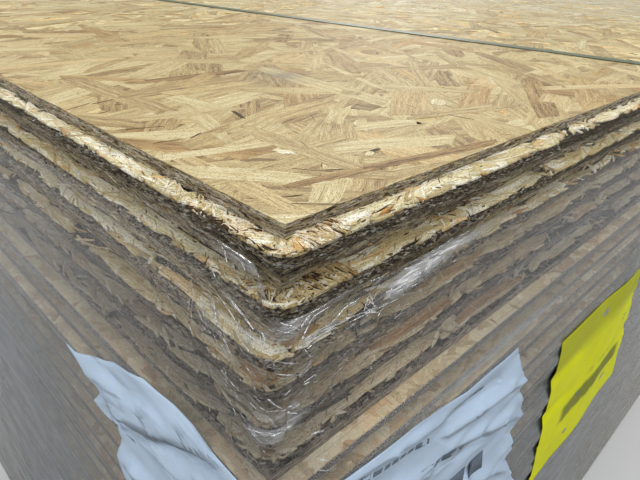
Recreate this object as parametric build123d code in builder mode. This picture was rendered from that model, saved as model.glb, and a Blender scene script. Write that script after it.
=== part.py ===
"""A pack of tongue-and-groove OSB floor panels, strapped and wrapped in stretch film.

Millimetres, +Z up. The origin is at the centre of the pack's base. X runs along the
panels, Y across them. The tongues point to -X and -Y.
"""

import os
import random

from build123d import *

# Panel: the length and width are what it covers when laid, so without the tongues
panel_length = 2500
panel_width = 1250
panel_thickness = 18
panel_count = 40

# Tongue on the -X and -Y sides, tapered, with broken edges
tongue_length = 7.5
tongue_depth = 5.2  # from the panel's top face down to the tongue's root
tongue_root_thickness = 7.6
tongue_tip_thickness = 5.0
tongue_edge_break = 0.6

# Groove on the +X and +Y sides, which takes the next panel's tongue
side_clearance = 0.2  # between the tongue and each wall of the groove
bottom_clearance = 1.0  # between the tongue's tip and the groove's bottom
lower_lip_setback = 0.8  # keeps the joint tight at the top face

# How far each panel lies off the top one: the upper ones as measured, the rest at random
upper_shifts = [(0, 0), (-0.9, 0.1), (-0.4, 2.5), (-2.8, 5.0), (-2.0, 4.8), (-2.2, 4.4)]
largest_shift = 5.0

# Two plastic straps across the pack
strap_width = 16
strap_thickness = 0.8
strap_end_distance = 465  # from each end of the panels to the strap's centre line
strap_skew = 170  # how much nearer to the tongued end the near strap lies on the far long side
strap_straight = 8  # how much of a strap lies square inside each edge before it slants

# Stretch film round the sides: several layers with their folds
film_thickness = 1.0
film_top = 44  # below the top face
film_rise = 18  # how much higher the film's edge reaches at the tongued corner
film_rise_length = 220  # along each side, from that corner to where the edge is level
film_wave = 5
film_wave_length = 640

# Labels on the film; outlines from the top panel's corner: (along the side, down)
label_thickness = 0.4
corner_label_top = 118
corner_label_bottom = 425
end_leg_edge = [(60, 110), (90, 114), (180, 152), (165, 192), (140, 230), (118, 330)]
end_leg_foot = 105
side_leg_edge = [(40, 136), (110, 147), (213, 156), (247, 208), (271, 263), (299, 366)]
side_leg_foot = 310
side_label_corners = [(307, 203), (512, 206), (584, 404), (352, 426)]
side_label_corner_radius = 4

# Where the panels lie
shuffle = random.Random(4)
shifts = list(upper_shifts[:panel_count])
while len(shifts) < panel_count:
    shifts.append((shuffle.uniform(-largest_shift, 0), shuffle.uniform(0, largest_shift)))
stack_height = panel_count * panel_thickness
stack_base = strap_thickness  # the lowest panel lies on the straps
stack_top = stack_base + stack_height

# Outermost faces of the stack, from the centre of the top panel
low_x = min(x for x, y in shifts) - panel_length / 2 - tongue_length
high_x = max(x for x, y in shifts) + panel_length / 2
low_y = min(y for x, y in shifts) - panel_width / 2 - tongue_length
high_y = max(y for x, y in shifts) + panel_width / 2

# Film: its inner faces lie on the panels' ends and on the straps, and it bends round the
# tongues' corner; at the other corners its bend is what the straps hold it off the panels
film_bend = tongue_length + film_thickness
film_plain_bend = strap_thickness + film_thickness
film_low_x = low_x - film_thickness
film_high_x = high_x + film_thickness
film_low_y = low_y - strap_thickness - film_thickness
film_high_y = high_y + strap_thickness + film_thickness
pack_center = Vector(
    (film_low_x - label_thickness + film_high_x) / 2,
    (film_low_y - label_thickness + film_high_y) / 2,
)

# Corner of the top panel's top face, between the tongues, from the origin
corner = Vector(-panel_length / 2, -panel_width / 2, stack_top) - pack_center
low_corner = Vector(film_low_x, film_low_y) - pack_center
high_corner = Vector(film_high_x, film_high_y) - pack_center

# One panel, its corner between the tongues at the origin, its underside on Z = 0
tongue_center = panel_thickness - tongue_depth - tongue_root_thickness / 2
groove_bottom = -tongue_length - bottom_clearance
groove_mouth = tongue_root_thickness / 2 + side_clearance
groove_end = tongue_tip_thickness / 2 + side_clearance

with BuildSketch() as tongue_profile:
    with BuildLine():
        Polyline(
            (0, tongue_center - tongue_root_thickness / 2),
            (tongue_length, tongue_center - tongue_tip_thickness / 2),
            (tongue_length, tongue_center + tongue_tip_thickness / 2),
            (0, tongue_center + tongue_root_thickness / 2),
            close=True,
        )
    make_face()
    chamfer(tongue_profile.vertices().group_by(Axis.X)[-1], tongue_edge_break)

with BuildSketch() as groove_profile:
    with BuildLine():
        Polyline(
            (0, tongue_center + groove_mouth),
            (groove_bottom, tongue_center + groove_end),
            (groove_bottom, tongue_center - groove_end),
            (-lower_lip_setback, tongue_center - groove_mouth),
            (-lower_lip_setback, 0),
            (0, 0),
            close=True,
        )
    make_face()

# Planes across each side, their x pointing out of the panel
across_long_side = Plane(origin=(0, 0, 0), x_dir=(0, -1, 0), z_dir=(-1, 0, 0))
across_short_side = Plane(origin=(0, 0, 0), x_dir=(-1, 0, 0), z_dir=(0, 1, 0))
across_far_long_side = Plane(
    origin=(-tongue_length, panel_width, 0), x_dir=(0, 1, 0), z_dir=(1, 0, 0)
)
across_far_short_side = Plane(
    origin=(panel_length, -tongue_length, 0), x_dir=(1, 0, 0), z_dir=(0, -1, 0)
)

with BuildPart() as panel:
    with BuildSketch():
        Rectangle(panel_length, panel_width, align=(Align.MIN, Align.MIN))
    extrude(amount=panel_thickness)
    with BuildSketch(across_long_side):
        add(tongue_profile.sketch)
    extrude(amount=-panel_length)
    with BuildSketch(across_short_side) as end_tongue:
        add(tongue_profile.sketch)
    extrude(amount=panel_width)
    revolve(end_tongue.sketch, axis=Axis.Z, revolution_arc=90)
    with BuildSketch(across_far_long_side):
        add(groove_profile.sketch)
    extrude(amount=panel_length + tongue_length, mode=Mode.SUBTRACT)
    with BuildSketch(across_far_short_side):
        add(groove_profile.sketch)
    extrude(amount=-panel_width - tongue_length, mode=Mode.SUBTRACT)

os.makedirs("parts", exist_ok=True)

# The stack, panel 1 on top
for number, (shift_x, shift_y) in enumerate(shifts, start=1):
    with BuildPart() as laid_panel:
        with Locations(corner + Vector(shift_x, shift_y, -number * panel_thickness)):
            add(panel.part)
    laid_panel.part.label = f"panel_{number:02d}"
    export_step(laid_panel.part, f"parts/panel_{number:02d}.step")

# Straps: pulled straight from the edges of the outer panels to the outermost tongues, and
# slanting over the top and bottom faces from one long side to the other
lowest_shift_y = shifts[-1][1]
lowest_low_edge = lowest_shift_y - panel_width / 2
lowest_high_edge = lowest_shift_y + panel_width / 2
strap_corners = [
    (-panel_width / 2, stack_top),
    (low_y, stack_top - tongue_depth),
    (low_y, stack_base + panel_thickness - tongue_depth - tongue_root_thickness),
    (lowest_low_edge, stack_base),
    (lowest_high_edge, stack_base),
    (high_y, stack_base + panel_thickness),
    (high_y, stack_top - panel_thickness),
    (panel_width / 2, stack_top),
]
strap_near_end = -panel_width / 2 + strap_straight - pack_center.Y
strap_far_end = panel_width / 2 - strap_straight - pack_center.Y
near_x = corner.X + strap_end_distance
far_x = corner.X + panel_length - strap_end_distance
strap_places = {"strap_near": (near_x, near_x - strap_skew), "strap_far": (far_x, far_x)}
for name, (low_side_x, high_side_x) in strap_places.items():
    with BuildPart() as strap:
        for side_x, end, part_align in (
            (low_side_x, strap_near_end, Align.MAX),
            (high_side_x, strap_far_end, Align.MIN),
        ):
            with BuildSketch(Plane.YZ.offset(side_x)):
                with BuildLine() as inside:
                    Polyline([(y - pack_center.Y, z) for y, z in strap_corners], close=True)
                make_face()
                offset(amount=strap_thickness)
                make_face(inside.edges(), mode=Mode.SUBTRACT)
                with Locations((end, 0)):
                    Rectangle(
                        panel_width,
                        3 * stack_height,
                        align=(part_align, Align.CENTER),
                        mode=Mode.INTERSECT,
                    )
            extrude(amount=strap_width / 2, both=True)
        for underside in (0, stack_top):
            with BuildSketch(Plane.XY.offset(underside)):
                with BuildLine():
                    Polyline(
                        (low_side_x - strap_width / 2, strap_near_end),
                        (low_side_x + strap_width / 2, strap_near_end),
                        (high_side_x + strap_width / 2, strap_far_end),
                        (high_side_x - strap_width / 2, strap_far_end),
                        close=True,
                    )
                make_face()
            extrude(amount=strap_thickness)
    strap.part.label = name
    export_step(strap.part, f"parts/{name}.step")

# Planes on the two tongued sides: x from the panel's corner along the side, y downwards
end_face = Plane(origin=(low_corner.X, corner.Y, stack_top), x_dir=(0, 1, 0), z_dir=(-1, 0, 0))
side_face = Plane(origin=(corner.X, low_corner.Y, stack_top), x_dir=(1, 0, 0), z_dir=(0, 1, 0))

# Film: a ring round the stack, its upper edge waving and rising to the tongued corner
film_size = high_corner - low_corner
film_middle = (high_corner + low_corner) / 2
film_level = film_top - film_wave
film_corner_start = corner.X - low_corner.X + corner.Y - low_corner.Y


def film_edge(length):
    """Points of the film's upper edge, from the tongued corner along one side."""
    points = [(-film_corner_start, film_top - film_rise), (film_rise_length, film_top)]
    waves = int((length - film_rise_length) // film_wave_length)
    for wave in range(1, waves + 1):
        depth = film_top + (film_wave if wave % 2 else -film_wave)
        points.append((film_rise_length + wave * film_wave_length, depth))
    points.append((length + film_wave_length, film_top))
    return points


with BuildPart() as film:
    with BuildSketch(Plane.XY.offset(stack_base)) as film_outline:
        with Locations((film_middle.X, film_middle.Y)):
            Rectangle(film_size.X, film_size.Y)
        fillet(film_outline.vertices().sort_by_distance(low_corner)[0], film_bend)
        fillet(film_outline.vertices().sort_by_distance(low_corner)[-3:], film_plain_bend)
        offset(amount=-film_thickness, mode=Mode.SUBTRACT)
    extrude(amount=stack_height)
    for face, length in ((side_face, panel_length), (end_face, panel_width)):
        edge = film_edge(length)
        with BuildSketch(face):
            with BuildLine():
                Spline(edge)
                Polyline(edge[-1], (edge[-1][0], -film_top), (edge[0][0], -film_top), edge[0])
            make_face()
        extrude(amount=panel_length + film_wave_length, both=True, mode=Mode.SUBTRACT)
film.part.label = "stretch_film"
export_step(film.part, "parts/stretch_film.step")

# Corner label: a leg on each side and the bend between them
bend_start_end = low_corner.Y + film_bend - corner.Y
bend_start_side = low_corner.X + film_bend - corner.X
label_height = corner_label_bottom - corner_label_top
bend_axis = Axis(
    (low_corner.X + film_bend, low_corner.Y + film_bend, 0), (0, 0, 1)
)

with BuildPart() as corner_label:
    for face, start, leg_edge, foot, outward in (
        (end_face, bend_start_end, end_leg_edge, end_leg_foot, 1),
        (side_face, bend_start_side, side_leg_edge, side_leg_foot, -1),
    ):
        top = (start, corner_label_top)
        bottom = (start, corner_label_bottom)
        with BuildSketch(face):
            with BuildLine():
                Polyline([top, *leg_edge, (foot, corner_label_bottom), bottom], close=True)
            make_face()
        extrude(amount=outward * label_thickness)
    with BuildSketch(Plane.XZ.offset(-low_corner.Y - film_bend)) as bend:
        with Locations((low_corner.X, stack_top - corner_label_top)):
            Rectangle(label_thickness, label_height, align=(Align.MAX, Align.MAX))
    revolve(bend.sketch, axis=bend_axis, revolution_arc=90)
corner_label.part.label = "corner_label"
export_step(corner_label.part, "parts/corner_label.step")

# Side label
with BuildPart() as side_label:
    with BuildSketch(side_face) as side_label_outline:
        with BuildLine():
            Polyline(side_label_corners, close=True)
        make_face()
        fillet(side_label_outline.vertices(), side_label_corner_radius)
    extrude(amount=-label_thickness)
side_label.part.label = "side_label"
export_step(side_label.part, "parts/side_label.step")
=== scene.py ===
# Looks of a strapped and film-wrapped pack of OSB floor panels
import math
from functools import partial

import bpy
import numpy as np
from mathutils import Matrix, Vector


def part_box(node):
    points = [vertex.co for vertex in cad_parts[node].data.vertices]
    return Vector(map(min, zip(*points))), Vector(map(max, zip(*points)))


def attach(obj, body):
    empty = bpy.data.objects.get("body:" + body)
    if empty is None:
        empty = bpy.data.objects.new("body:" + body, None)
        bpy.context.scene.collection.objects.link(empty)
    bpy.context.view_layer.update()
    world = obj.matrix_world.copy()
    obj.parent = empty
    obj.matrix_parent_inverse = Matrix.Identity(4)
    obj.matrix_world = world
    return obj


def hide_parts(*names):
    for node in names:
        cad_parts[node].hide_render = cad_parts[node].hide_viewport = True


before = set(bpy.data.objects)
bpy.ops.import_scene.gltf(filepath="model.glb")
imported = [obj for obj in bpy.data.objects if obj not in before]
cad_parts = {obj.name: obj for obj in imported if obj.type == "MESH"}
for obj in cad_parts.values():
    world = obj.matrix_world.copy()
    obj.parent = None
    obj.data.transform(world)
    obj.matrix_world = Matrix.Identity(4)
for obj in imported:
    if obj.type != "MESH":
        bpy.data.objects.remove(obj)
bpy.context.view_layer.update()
scene = bpy.context.scene
mm = 0.001

panelSizes = {"length": 2500, "width": 1250, "thick": 18, "tongue": 7.5, "lip": 5.2, "count": 40}
panelLow, panelHigh = (np.array(end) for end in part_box("panel_01"))
corner = np.append(panelLow[:2] + panelSizes["tongue"] * mm, panelHigh[2])  # the top face's, between the tongues
panelNames = ["panel_%02d" % n for n in range(1, panelSizes["count"] + 1)]
# how far each panel lies off the top one, mm
shifts = np.array([(np.array(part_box(name)[0]) - panelLow)[:2] / mm for name in panelNames])
print("frame loaded:", len(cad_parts), "nodes")


# Helpers

def linear(hexColour, alpha=1.0):
    # sRGB hex to linear: the standard curve, channel by channel
    channels = [int(hexColour[i:i + 2], 16) / 255 for i in (1, 3, 5)]
    return tuple(c / 12.92 if c <= 0.04045 else ((c + 0.055) / 1.055) ** 2.4 for c in channels) + (alpha,)


def connect(made, *values, **named):
    # fills a node's inputs in order, or by name, each with a number, a colour, a socket, or a node, whose first output
    # is then meant; for a map range the order is the value, from low and high, to low and high
    pairs = list(zip([socket for socket in made.inputs if socket.enabled], values))
    pairs += [(made.inputs[name.replace("_", " ")], value) for name, value in named.items()]
    for socket, value in pairs:
        if isinstance(value, bpy.types.Node):
            value = next(output for output in value.outputs if output.enabled)
        if isinstance(value, bpy.types.NodeSocket):
            made.id_data.links.new(value, socket)
        else:
            socket.default_value = value
    return made


def node(tree, kind, settings=None, *values, **named):
    # adds one node and connects it: settings is its operation, or a dictionary of its properties and a ramp's stops
    made = tree.nodes.new("ShaderNode" + kind)
    if isinstance(settings, str):
        settings = {"operation": settings}
    for name, value in (settings or {}).items():
        if name == "stops":
            while len(made.color_ramp.elements) < len(value):
                made.color_ramp.elements.new(0.5)
            for element, (place, colour) in zip(made.color_ramp.elements, value):
                element.position = place
                element.color = linear(colour) if isinstance(colour, str) else (colour, colour, colour, 1)
        else:
            setattr(made, name, value)
    return connect(made, *values, **named)


def newMaterial(name):
    # a new material, the function that adds a node to it, and its shader
    m = bpy.data.materials.new(name)
    m.use_nodes = True
    return m, partial(node, m.node_tree), m.node_tree.nodes["Principled BSDF"]


def hashed(i, j, seed):
    # repeatable random number 0..1 for each pair of whole numbers, from mixed integer products
    h = (i.astype(np.int64) * 374761393 + j.astype(np.int64) * 668265263 + seed * 974634777) & 0xFFFFFFFF
    h = ((h ^ (h >> 13)) * 1274126177) & 0xFFFFFFFF
    return ((h ^ (h >> 16)) & 0xFFFFFF) / 0xFFFFFF


def waves(x, y, seed):
    # smooth random field 0..1: four corner values of a unit cell, blended with 3t^2 - 2t^3
    x, y = np.broadcast_arrays(np.asarray(x, float), np.asarray(y, float))
    i, j = np.floor(x), np.floor(y)
    fx, fy = x - i, y - j
    fx, fy = fx * fx * (3 - 2 * fx), fy * fy * (3 - 2 * fy)
    low = hashed(i, j, seed) * (1 - fx) + hashed(i + 1, j, seed) * fx
    high = hashed(i, j + 1, seed) * (1 - fx) + hashed(i + 1, j + 1, seed) * fx
    return low * (1 - fy) + high * fy


def cells(x, y, seed):
    # one random point per unit cell: distance to the nearest of them, and that one's own random number
    near, pick = np.full(np.shape(x), 9.0), np.zeros(np.shape(x))
    for di in (-1, 0, 1):
        for dj in (-1, 0, 1):
            i, j = np.floor(x) + di, np.floor(y) + dj
            far = (i + hashed(i, j, seed) - x) ** 2 + (j + hashed(i, j, seed + 1) - y) ** 2
            pick = np.where(far < near, hashed(i, j, seed + 2), pick)
            near = np.minimum(near, far)
    return np.sqrt(near), pick


def spacing(length, fine, reach, growth, coarse):
    # places from 0 to length: fine steps up to reach, then steps that grow by a fixed ratio up to coarse
    steps = np.minimum(fine * growth ** np.clip(np.arange(4000) - reach / fine, 0, 300), coarse)
    places = np.concatenate([[0], np.cumsum(steps)])
    last = np.searchsorted(places, length)
    return places[:last + 1] * length / places[last]


def makePiece(name, points, quads, materials, finish=None, caps=(), slotName="osb", smooth=False, **layers):
    # points in mm from the corner, quads as rows of four point numbers, caps as lists of point numbers;
    # finish is each quad's material number; layers are point attributes, a UV map where 2 wide, a colour where 4 wide
    mesh = bpy.data.meshes.new(name)
    loops = np.concatenate([quads.ravel()] + [np.asarray(c) for c in caps]).astype(np.int32)
    sizes = [4] * len(quads) + [len(c) for c in caps]
    starts = np.concatenate([[0], np.cumsum(sizes)[:-1]]).astype(np.int32)
    mesh.vertices.add(len(points))
    mesh.vertices.foreach_set("co", (corner + points * mm).astype(np.float32).ravel())
    mesh.loops.add(len(loops))
    mesh.loops.foreach_set("vertex_index", loops)
    mesh.polygons.add(len(starts))
    mesh.polygons.foreach_set("loop_start", starts)
    number = np.zeros(len(starts), np.int32)
    if finish is not None:
        number[:len(quads)] = finish
    mesh.polygons.foreach_set("material_index", number)
    mesh.polygons.foreach_set("use_smooth", np.full(len(starts), smooth))
    mesh.update(calc_edges=True)
    for layer, values in layers.items():
        values = values.astype(np.float32)
        if values.ndim == 1:
            mesh.attributes.new(layer, "FLOAT", "POINT").data.foreach_set("value", values)
        elif values.shape[1] == 4:
            mesh.attributes.new(layer, "FLOAT_COLOR", "POINT").data.foreach_set("color", values.ravel())
        else:
            mesh.uv_layers.new(name=layer).data.foreach_set("uv", values[loops].ravel())
    for m in materials:
        mesh.materials.append(m)
    piece = bpy.data.objects.new(name, mesh)
    scene.collection.objects.link(piece)
    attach(piece, "root")
    print("made", name, "with", 2 * len(quads), "triangles")
    return piece


def rowsOf(x, y, z):
    # grids of x, y and z as rows of points
    return np.stack([x, y, z], -1).reshape(-1, 3)


def quadsBetween(at, after):
    # quads from each line of point numbers to the line after it
    return np.stack([at[:, :-1], at[:, 1:], after[:, 1:], after[:, :-1]], -1).reshape(-1, 4)


def rimQuads(loop, under):
    # quads from a closed loop of point numbers to the same loop in the layer under it
    nextOne = np.roll(loop, -1, -1)
    return np.stack([loop, nextOne, nextOne + under, loop + under], -1).reshape(-1, 4)


def middleAndTurn(x0, y0, x1, y1):
    # lines given by their ends: middle x, middle y, length and angle
    return (x0 + x1) / 2, (y0 + y1) / 2, np.hypot(x1 - x0, y1 - y0), np.arctan2(y1 - y0, x1 - x0)


# Edge space: s runs round the tongued corner in mm, below -turnHalf on the end side (-X), above turnHalf on the
# long side (-Y), and between them the way turns a quarter circle; out is the distance outwards from the top face's edge

turnHalf = 5.9  # a quarter of the tongue's rounded corner is 11.8 mm long


def aroundCorner(s, out):
    # x and y in mm of a point at s and out
    turn = np.clip((s + turnHalf) / (2 * turnHalf), 0, 1) * np.pi / 2
    x = np.maximum(s - turnHalf, 0) - out * np.cos(turn)
    y = np.maximum(-s - turnHalf, 0) - out * np.sin(turn)
    return x, y


# Materials: colours as sRGB, a ramp's as place and colour

woodColours = {
    "strand": [(0.0, "#3f3020"), (0.16, "#7d6645"), (0.34, "#ab9365"), (0.55, "#c8b683"), (0.74, "#d8cb9e"),
               (0.9, "#e6dfbc"), (1, "#f3efdd")],
    "sawn": [(0.0, "#15120e"), (0.26, "#51493f"), (0.5, "#968c7a"), (0.72, "#c6bba6"), (1.0, "#f6f0e0")],
    "tip": [(0.0, "#121110"), (0.28, "#4a4742"), (0.5, "#7f7c75"), (0.74, "#bab8b1"), (1.0, "#f4f4ef")],
    "warm": "#f6cd9c",
    # greyed wood, and on the top's far part a painted sheen
    "greyAndSheen": "#b4b3b0",
    # dark brown of hairlines and specks, and of the painted shade on strand rims
    "dirtAndShade": "#544227",
    # the colour of the painted shade under and behind the tongues
    "shadeUnderTongue": "#645f59",
    "bleached": "#fffaf8",
    "panelTints": [1.0, 1.0, 1.28, 1.05, 0.84, 0.9, 1.3, 1.05, 1.6, 1.15, 1.05, 0.9],  # of the uppermost panels
}
# clear and pale are the film's own tints, fold the white of painted glints and painted glare
filmColours = {"clear": "#6d767e", "pale": "#d2d2cc", "fold": "#ffffff"}
paperColours = {"white": ("#cde3fb", "#4c5766"), "yellow": ("#faff00", "#474f14")}  # sheet and print
strapColours = ("#56604c", "#737a62")

blending = {"data_type": "RGBA"}  # settings of a mix of two colours, and of one tinted by the other
tinting = {"data_type": "RGBA", "blend_type": "MULTIPLY"}


def sizedNoise(add, place, size, **values):
    # noise with patches of this size in the units of place, flat where only two sizes are given
    scale = [1 / length for length in size] + [1] * (3 - len(size))
    return add("TexNoise", {"noise_dimensions": "%dD" % len(size)}, Scale=1.0,
               Vector=add("Mapping", None, place, Scale=scale), **values)


def dustedAndShaded(add, colour):
    # wood below the second panel is dusty: less yellow the deeper it lies, as behind the film in the photograph
    x, y, z = (float(c) for c in corner)
    place = add("SeparateXYZ", None, add("TexCoord").outputs["Object"])
    deep = add("MapRange", None, place.outputs[2], z - 0.034, z - 0.075)
    dull = add("HueSaturation", Color=colour, Saturation=0.78, Value=0.97)
    dull = add("Mix", tinting, 1.0, dull, linear(woodColours["bleached"]))
    colour = add("Mix", blending, deep, colour, dull)
    # the tongued end is darker and greyer below the third panel, most of all at the corner: grime together with painted
    # shade
    low = add("MapRange", None, place.outputs[2], z - 0.055, z - 0.08)
    atEnd = add("MapRange", None, place, x + 0.06, x)
    atCorner = add("MapRange", None, place.outputs[1], y + 0.16, y + 0.05, 0.45)
    grimeAndShade = add("Math", "MULTIPLY", add("Math", "MULTIPLY", low, atEnd), atCorner)
    grey = add("HueSaturation", Color=colour, Saturation=0.8, Value=0.62)
    return add("Mix", blending, grimeAndShade, colour, grey)


def looseStrand():
    # Poplar and pine strand, flaked with a knife and pressed with wax: long grain in bundles, dark hairlines where it
    # split, specks of bark dust and resin, and a rim darkened with painted shade of the gaps between strands together
    # with resin; colours come from the attribute chip (red tone, green greying, which on the top's far part is a
    # painted sheen, blue orange, alpha 0 at the rim), the grain from the UV map grain in mm
    m, add, shader = newMaterial("flaked softwood strand")
    chip = add("Attribute", {"attribute_name": "chip"})
    ownTone, greying, orange = add("SeparateColor", None, chip).outputs
    uv = add("UVMap", {"uv_map": "grain"})
    streaks = sizedNoise(add, uv, (60, 2.6), Detail=3.0, Roughness=0.65)  # growth rings
    fibres = sizedNoise(add, uv, (9, 0.5), Detail=2.0, Roughness=0.65)  # fibre bundles
    tone = add("Math", "MULTIPLY_ADD", streaks, 0.72, ownTone)
    tone = add("Math", "MULTIPLY_ADD", fibres, 0.75, tone)
    tone = add("Math", "SUBTRACT", tone, 0.735)
    colour = add("ValToRGB", {"stops": woodColours["strand"]}, tone)
    colour = add("Mix", tinting, orange, colour, linear(woodColours["warm"]))
    # greyed strand colour: real greying of tips and stains, and on the top's far part a painted sheen
    greyAndSheen = add("Mix", tinting, 1.0, colour, linear(woodColours["greyAndSheen"]))
    greyAndSheen = add("HueSaturation", Color=greyAndSheen, Saturation=0.45)
    colour = add("Mix", blending, greying, colour, greyAndSheen)
    # hairlines, pores and specks: size in mm, detail, the noise values between which they set in, strength
    for size, detail, low, high, most in (((34, 1.3), 1.0, 0.29, 0.23, 0.4), ((2.2, 0.55), 1.0, 0.62, 0.71, 0.5),
                                          ((0.8, 0.6), 0.0, 0.67, 0.78, 0.6)):
        spots = sizedNoise(add, uv, size, Detail=detail, Roughness=0.65)
        dark = add("MapRange", None, spots, low, high, 0.0, most)
        colour = add("Mix", blending, dark, colour, linear(woodColours["dirtAndShade"]))
    # each strand's rim is darkened: painted shade of the gaps between strands, together with resin
    rim = add("MapRange", {"interpolation_type": "SMOOTHSTEP"}, chip.outputs["Alpha"], 0.0, 0.9, 0.3, 0.0)
    colour = add("Mix", blending, rim, colour, linear(woodColours["dirtAndShade"]))
    bump = add("Bump", Strength=0.5, Distance=0.0004, Height=add("Math", "ADD", fibres, streaks))
    connect(shader, Base_Color=dustedAndShaded(add, colour), Normal=bump, Roughness=0.62, Specular_IOR_Level=0.35)
    return m


def pressedBoard():
    # Oriented strand board, pressed from 0.75 mm strands and milled: every 0.75 mm of height is a wavy layer with its
    # own strand direction, cut into cells 60 x 15 mm, so a face shows patches with grain and a sawn edge thin lines;
    # sawn faces are grey-brown with torn fibres, milled tongue tops pale with orange patches; by the height within
    # its panel, a tongue's tip is finely speckled and grey, and the faces under the tongue above get painted shade
    m, add, shader = newMaterial("pressed strand board")
    place = add("VectorMath", "SCALE", add("TexCoord").outputs["Object"], 1000.0)  # mm

    def boardNoise(wide, high, detail):
        return sizedNoise(add, place, (wide, wide, high), Detail=detail, Roughness=0.7)

    # depth below the top face in panels: its whole part is the panel, the rest the place within it
    z = add("SeparateXYZ", None, place).outputs[2]
    depth = add("Math", "DIVIDE", add("Math", "SUBTRACT", corner[2] / mm, z), panelSizes["thick"])
    within, panel = add("Math", "FRACT", depth), add("Math", "FLOOR", depth)
    # each panel's own tint: the uppermost ones' from the list, the others' at random
    tintList = woodColours["panelTints"]
    order = add("Math", "MULTIPLY_ADD", panel, 1 / len(tintList), 0.5 / len(tintList))
    shownTint = add("ValToRGB", {"stops": [(i / len(tintList), tint) for i, tint in enumerate(tintList)]}, order)
    shownTint.color_ramp.interpolation = "CONSTANT"
    deepTint = add("MapRange", None, add("TexWhiteNoise", {"noise_dimensions": "1D"}, panel), 0.0, 1.0, 0.75, 1.0)
    panelTint = add("Mix", blending, add("Math", "GREATER_THAN", order, 1.0), shownTint, deepTint)
    # how far a place is tip, underside below the tongue, or shoulder behind the tongue of the panel above; the
    # underside and the shoulder get painted shade
    tip = add("MapRange", None, add("Math", "ABSOLUTE", add("Math", "SUBTRACT", within, 0.5)), 0.17, 0.14)
    tongueShade = add("MapRange", None, within, 0.66, 0.71, 0.0, 0.75)
    covered = add("MapRange", None, within, 0.28, 0.24, 0.0, 0.3)
    covered = add("Math", "MULTIPLY", covered, add("Math", "GREATER_THAN", depth, 1.0))
    tongueShade = add("Math", "MAXIMUM", tongueShade, covered)
    # wavy layers, each turned and shifted its own way and cut into strands
    wavy = add("Math", "MULTIPLY_ADD", boardNoise(38, 38, 2.0), 9.0, z)
    wavy = add("Math", "MULTIPLY_ADD", boardNoise(7, 3, 1.0), 1.6, wavy)
    layer = add("Math", "FLOOR", add("Math", "DIVIDE", wavy, 0.75))
    own = add("TexWhiteNoise", {"noise_dimensions": "1D"}, layer)
    turned = add("VectorRotate", {"rotation_type": "Z_AXIS"}, Vector=place, Angle=add("Math", "MULTIPLY", own, math.pi))
    ragged = add("VectorMath", "MULTIPLY_ADD", boardNoise(12, 12, 2.0).outputs[1], (16, 16, 0), turned)
    shifted = add("VectorMath", "MULTIPLY_ADD", own.outputs[1], (900, 900, 0), ragged)
    cut = add("Mapping", None, shifted, Scale=(1 / 60, 1 / 15, 0))
    strand = add("TexVoronoi", {"voronoi_dimensions": "2D"}, Vector=cut, Scale=1.0)
    strandTone, strandOrange, strandCut = add("SeparateColor", None, strand.outputs["Color"]).outputs
    grain = sizedNoise(add, shifted, (16, 0.9), Detail=3.0, Roughness=0.7)
    fibre, fine = boardNoise(5, 0.55, 2.0), boardNoise(0.9, 0.4, 1.0)
    # strand faces show on the flat of the tongues' tops and of the pack's top
    flat = add("Math", "ABSOLUTE", add("SeparateXYZ", None, add("NewGeometry").outputs["Normal"]).outputs[2])
    flat = add("MapRange", None, flat, 0.45, 0.75)
    milled, uppermost = add("Math", "COMPARE", within, 0.29, 0.09), add("Math", "LESS_THAN", depth, 0.06)
    flat = add("Math", "MULTIPLY", flat, add("Math", "MAXIMUM", milled, uppermost))
    tone = add("Math", "MULTIPLY_ADD", grain, 0.85, add("Math", "MULTIPLY_ADD", strandTone, 0.4, -0.02))
    face = add("ValToRGB", {"stops": woodColours["strand"]}, tone)
    warm = add("MapRange", None, strandOrange, 0.72, 0.9, 0.0, 0.7)
    face = add("Mix", tinting, warm, face, linear(woodColours["warm"]))
    # everything else is sawn wood
    tone = add("Math", "MULTIPLY_ADD", fibre, 1.3, add("Math", "MULTIPLY_ADD", strandCut, 0.3, -0.75))
    tone = add("Math", "MULTIPLY_ADD", fine, 0.9, tone)
    speckled = add("Math", "MULTIPLY_ADD", boardNoise(0.6, 0.35, 1.0), 3.5, -1.42)
    grey = add("ValToRGB", {"stops": woodColours["tip"]}, speckled)
    sawn = add("Mix", blending, tip, add("ValToRGB", {"stops": woodColours["sawn"]}, tone), grey)
    # painted shade on the faces under and behind the tongues
    sawn = add("Mix", tinting, tongueShade, sawn, linear(woodColours["shadeUnderTongue"]))
    colour = add("Mix", tinting, 1.0, add("Mix", blending, flat, sawn, face), panelTint)
    bump = add("Bump", Strength=0.7, Distance=0.0006, Height=add("Math", "ADD", fibre, fine))
    connect(shader, Base_Color=dustedAndShaded(add, colour), Normal=bump, Roughness=0.75, Specular_IOR_Level=0.3)
    return m


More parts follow.
